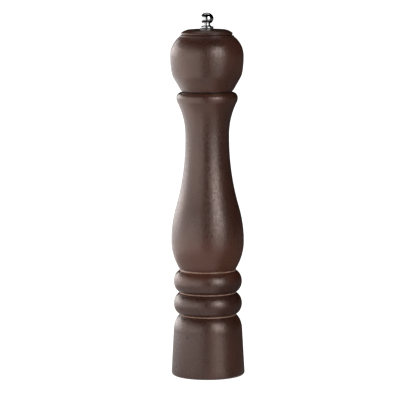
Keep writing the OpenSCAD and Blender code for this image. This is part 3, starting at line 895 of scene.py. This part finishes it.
def make_housing():
    top, rim = high("grinder_housing"), 19.5
    inner, outer, stop = 12.6, 13.45, 26.0
    section = [(inner, SEAT), (rim, SEAT), (rim, FLANGE_TOP), (outer, FLANGE_TOP), (outer, top),
               (inner, top), (inner, stop + 1.0), (inner - 0.9, stop + 1.0), (inner - 0.9, stop),
               (inner, stop)]
    piece = revolve("sheet_housing", [(0, soften(section, 0.3, closed=True))], [steel], 144)
    bridge_low, bridge_high = low("bearing_bridge"), high("bearing_bridge")
    across = [(-20, -4.1), (20, -4.1), (20, 4.1), (-20, 4.1)]
    slot = prism("slot", [across], bridge_low, bridge_high, [steel], 0.01)
    holes = [peg(1.7, SEAT - 1, FLANGE_TOP + 1, side * SCREW_PLACE) for side in (-1, 1)]
    dress(carve(piece, [slot] + holes), "grinder_housing", "mill_body")


def make_bridge():
    bottom, top = low("bearing_bridge"), high("bearing_bridge")
    half, end, hub = 4.0, 13.4, 7.49
    tip, waist = (math.degrees(math.asin(half / r)) for r in (end, hub))
    rim = []
    for side in (0, 180):
        rim += ring_of(end, start=side - tip, end=side + tip, steps=12)
        rim += ring_of(hub, start=side + waist, end=side + 180 - waist, steps=32)
    bridge = prism("spring_bridge", [rim, ring_of(5.64)], bottom, top, [steel])
    dress(bridge, "bearing_bridge", "mill_body")
    inner, sleeve = HALF_DIAGONAL + 0.1, 5.59
    section = [(inner, bottom), (sleeve, bottom), (sleeve, top), (sleeve + 1, top), (sleeve + 1, top + 0.8),
               (inner, top + 0.8)]
    bush = revolve("bridge_bearing", [(0, soften(section, 0.2, closed=True))], [nylon], 96, crease=40.0)
    dress(bush, "bridge_bush", "mill_body")


def make_mouth_ring():
    bottom = BODY_HEIGHT - 9.0
    inner, outer, flange = 13.3, 15.5, 18.5
    section = [(inner, bottom), (outer, bottom), (outer, BODY_HEIGHT), (flange, BODY_HEIGHT),
               (flange, JOINT), (inner + 0.5, JOINT), (inner, JOINT - 0.5)]
    piece = revolve("wear_ring", [(0, soften(section, 0.2, closed=True))], [nylon], 160, crease=40.0)
    dress(piece, "mouth_ring", "mill_body")


# ---------------------------------------------------------------- plates and screws

def make_bar():
    bottom, top, half, hub = low("retaining_bar"), high("retaining_bar"), 4.0, 6.0
    waist = math.degrees(math.asin(half / hub))
    rim = []
    for side, direction in ((1, 0), (-1, 180)):
        rim += ring_of(half, (side * SCREW_PLACE, 0.0), direction - 90, direction + 90, 28)
        rim += ring_of(hub, start=direction + waist, end=direction + 180 - waist, steps=28)
    holes = [ring_of(1.7, (side * SCREW_PLACE, 0.0), steps=48) for side in (-1, 1)]
    piece = prism("retaining_strap", [rim, ring_of(2.45)] + holes, bottom, top, [steel], 0.18)
    dress(piece, "retaining_bar", "mill_body")


def make_drive_plate():
    holes = [ring_of(1.3, (x, 0.0), steps=40) for x in (-8.5, 8.5)]
    piece = prism("drive_disc", [ring_of(12.05, steps=160), square_of(HALF_WIDTH + RUN, 0.1)] + holes,
                  low("drive_plate"), high("drive_plate"), [steel], 0.15)
    dress(piece, "drive_plate", "mill_head")


def pan_screw(x, bottom, cap, cap_high, shank, long, turn):
    """A slotted pan head wood screw at x, its head down."""
    top = bottom + cap_high + long
    head = arc(0.0, bottom + cap_high * 0.62, cap, cap_high * 0.62, -90, 0, 12)
    head += [(cap, bottom + cap_high - 0.1), (cap - 0.1, bottom + cap_high), (shank, bottom + cap_high)]
    core = shank * 0.68
    spiral = thread(bottom + cap_high + 0.6, top - shank, 1.1, core, shank, 0.7)
    tip = [(core * 0.9, top - shank + 0.1), (0.15, top - 0.05), (0.0, top)]
    piece = revolve("screw", [(0, soften(head, 0.1) + [(shank, bottom + cap_high + 0.3)] + spiral + tip)],
                    [screw_steel], 48)
    slot = prism("slot", [[(-cap - 1, -0.35), (cap + 1, -0.35), (cap + 1, 0.35), (-cap - 1, 0.35)]],
                 bottom - 1, bottom + cap_high * 0.6, [screw_steel], 0.01)
    slot.data.transform(Matrix.Rotation(math.radians(turn), 4, "Z"))
    carve(piece, [slot], 40.0)
    piece.data.transform(Matrix.Translation((x * MM, 0.0, 0.0)))
    return piece


def make_screws():
    bottom = low("retaining_bar_screws")
    pair = [pan_screw(side * SCREW_PLACE, bottom, 3.0, 1.8, 1.5, 13.0, turn)
            for side, turn in ((-1, 62), (1, 17))]
    dress(join("strap_screws", pair), "retaining_bar_screws", "mill_body")
    bottom = low("drive_plate_screws")
    pair = [pan_screw(side * 8.5, bottom, 2.3, 1.3, 1.2, 8.0, turn) for side, turn in ((-1, -35), (1, 48))]
    dress(join("disc_screws", pair), "drive_plate_screws", "mill_head")


# ---------------------------------------------------------------- the scene

bpy.context.scene.view_settings.view_transform = "Standard"
make_camera()
make_floor()
make_world()

# The rubbed heights bound a band of painted warm bounce light round the belly.
stained = wood("lacquered_wood", (0.037, 0.0125, 0.0085), (0.068, 0.0255, 0.0175), (0.098, 0.034, 0.018),
               figure=0.5, gloss=0.28, shine=1.0, peel=0.00012, warm_bounce_band=(0.090, 0.145),
               marks=(((-0.0175, -0.0231, 0.0346), 0.0026), ((-0.0283, -0.0108, 0.1137), 0.0018)))
bare = wood("bare_wood", (0.32, 0.185, 0.135), (0.58, 0.38, 0.29), (0.50, 0.29, 0.21), gloss=0.55)
raw = wood("raw_wood", (0.36, 0.22, 0.13), (0.60, 0.42, 0.28), (0.52, 0.33, 0.19), gloss=0.7, tool=0.00012)
chrome = metal("mirror_chrome", (0.76, 0.77, 0.78), 0.05, scratch=0.04, bump=0.0000005)
steel = metal("zinc_steel", (0.60, 0.61, 0.63), 0.30, grain=(1.0, 1.0, 0.06), scratch=0.16)
hard_steel = metal("burr_steel", (0.20, 0.20, 0.22), 0.38, turned=True, scratch=0.2, dirt=0.25)
spring_steel = metal("spring_wire", (0.42, 0.42, 0.44), 0.28, scratch=0.12)
screw_steel = metal("dark_steel", (0.34, 0.34, 0.36), 0.34, scratch=0.16, dirt=0.2)
bronze = metal("turned_bronze", (0.72, 0.50, 0.24), 0.26, turned=True, scratch=0.14)
nylon = plastic("black_nylon", (0.045, 0.045, 0.050), 0.45)

make_body()
make_head()
make_finial()
make_bush()
make_shaft()
make_shaft_end()
make_spring()
make_spring_seats()
make_burr()
make_ring()
make_housing()
make_bridge()
make_mouth_ring()
make_bar()
make_drive_plate()
make_screws()
